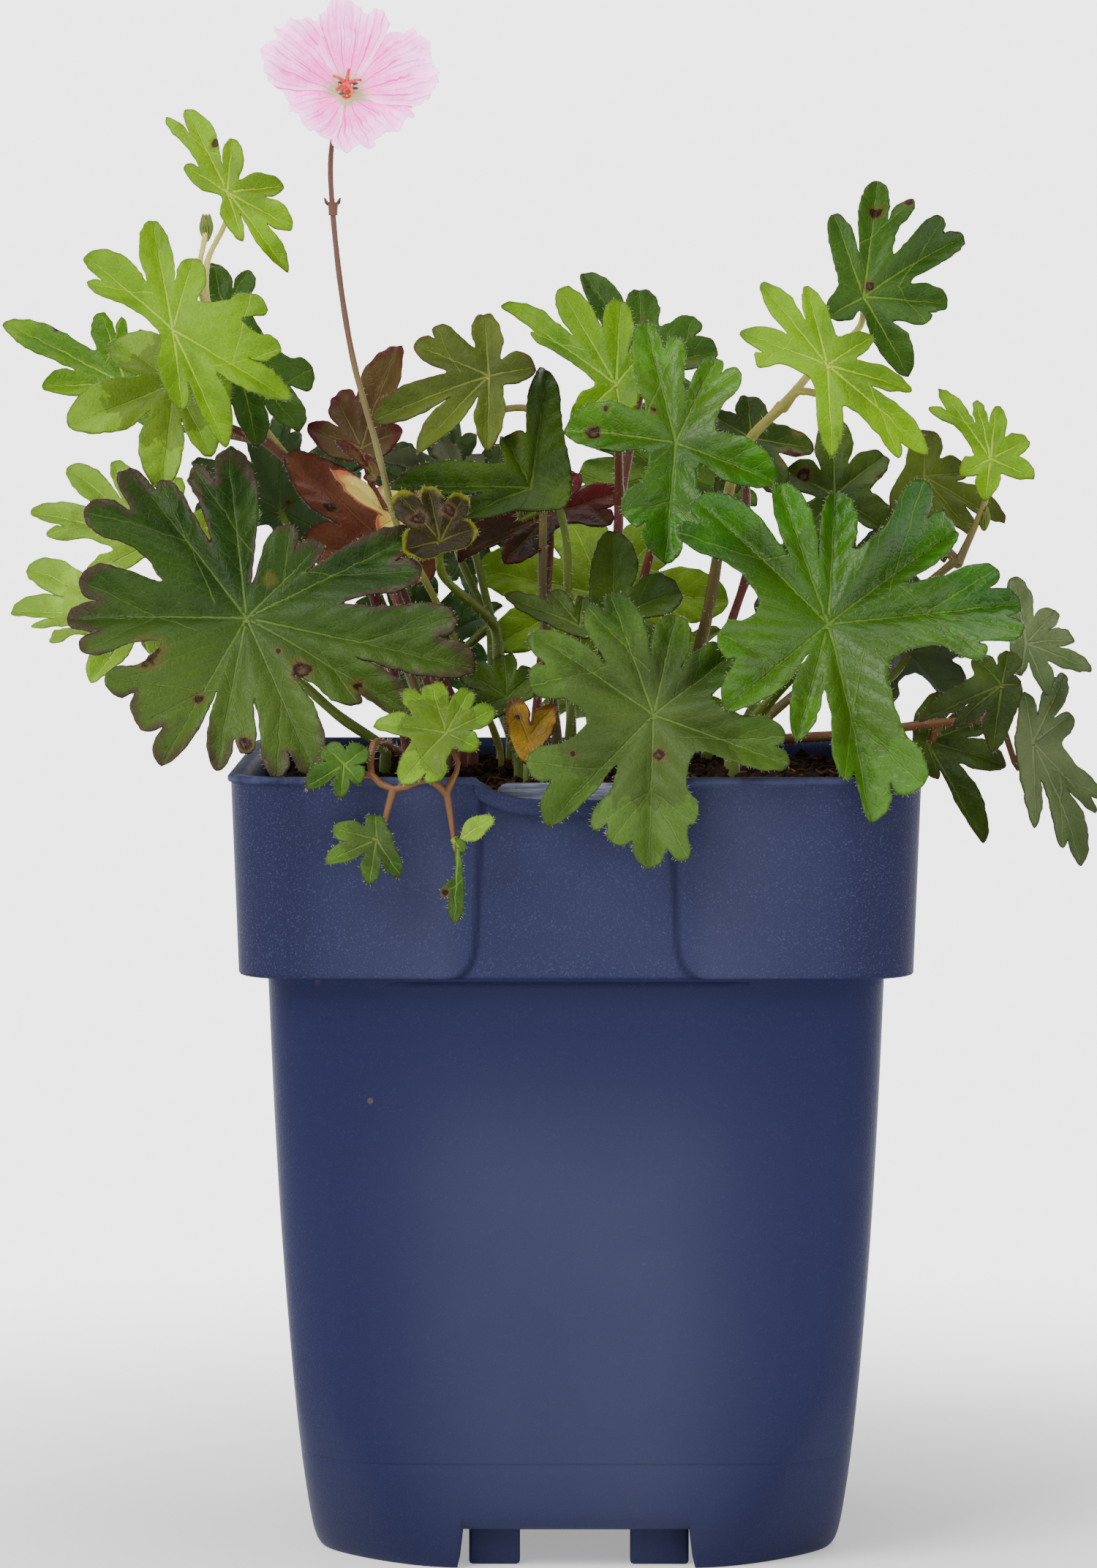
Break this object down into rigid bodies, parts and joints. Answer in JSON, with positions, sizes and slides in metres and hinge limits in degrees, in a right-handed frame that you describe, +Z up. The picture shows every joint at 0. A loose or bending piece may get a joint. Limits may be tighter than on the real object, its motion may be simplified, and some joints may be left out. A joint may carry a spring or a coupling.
{
  "type": "potted hardy geranium",
  "caption": "Hardy geranium with deeply cut palmate leaves and a pale pink veined bloom on a tall stalk, in soil in a square tapered nursery pot with a rim band.",
  "frame": {"origin": "middle of the pot's foot, on the surface that the pot stands on", "axes": "+Z up through the pot, -Y out of the pot's front where its rim is scooped, +X to the right seen from the front"},
  "size_m": [0.2307, 0.1624, 0.322],
  "materials": {
    "pot": "satin",
    "soil": "rough, crumbly and fibrous",
    "leaf_bright": "satin",
    "leaf_green": "satin",
    "leaf_dark": "satin",
    "leaf_olive": "satin",
    "leaf_grey": "matt",
    "leaf_maroon": "satin",
    "leaf_bronze": "satin",
    "leaf_red": "satin",
    "leaf_yellow": "satin",
    "petal": "soft and slightly translucent",
    "stamen": "soft",
    "stalk": "satin, finely hairy"
  },
  "bodies": {
    "root": {"flower_petals": "petal", "flower_stamens": "stamen", "flower_stalk": "stalk", "leaf_bronze_upright": "leaf_bronze", "leaf_brown": "leaf_bronze", "leaf_centre_dark": "leaf_dark", "leaf_folded": "leaf_dark", "leaf_glossy_dark": "leaf_green", "leaf_glossy_right": "leaf_green", "leaf_grey": "leaf_grey", "leaf_large_left": "leaf_dark", "leaf_low_dark": "leaf_dark", "leaf_maroon": "leaf_maroon", "leaf_matte_front": "leaf_green", "leaf_olive": "leaf_olive", "leaf_olive_small": "leaf_olive", "leaf_pale_back": "leaf_bright", "leaf_red_curled": "leaf_red", "leaf_yellow_high": "leaf_yellow", "leaf_yellow_low": "leaf_yellow", "leaf_yellow_olive": "leaf_olive", "pot": "pot", "runner_front": "leaf_bright", "soil": "soil", "stem_back_centre_left": "leaf_green", "stem_back_centre_right": "leaf_bright", "stem_back_left": "leaf_green", "stem_back_right": "leaf_dark", "stem_back_right_low": "leaf_dark", "stem_left": "leaf_green", "stem_lower_left": "leaf_bright", "stem_right": "leaf_bright", "stem_top_centre": "leaf_bright", "stem_trailing_right": "leaf_dark", "stem_upper_left": "leaf_bright", "stem_upper_right": "leaf_green"}
  },
  "joints": []
}
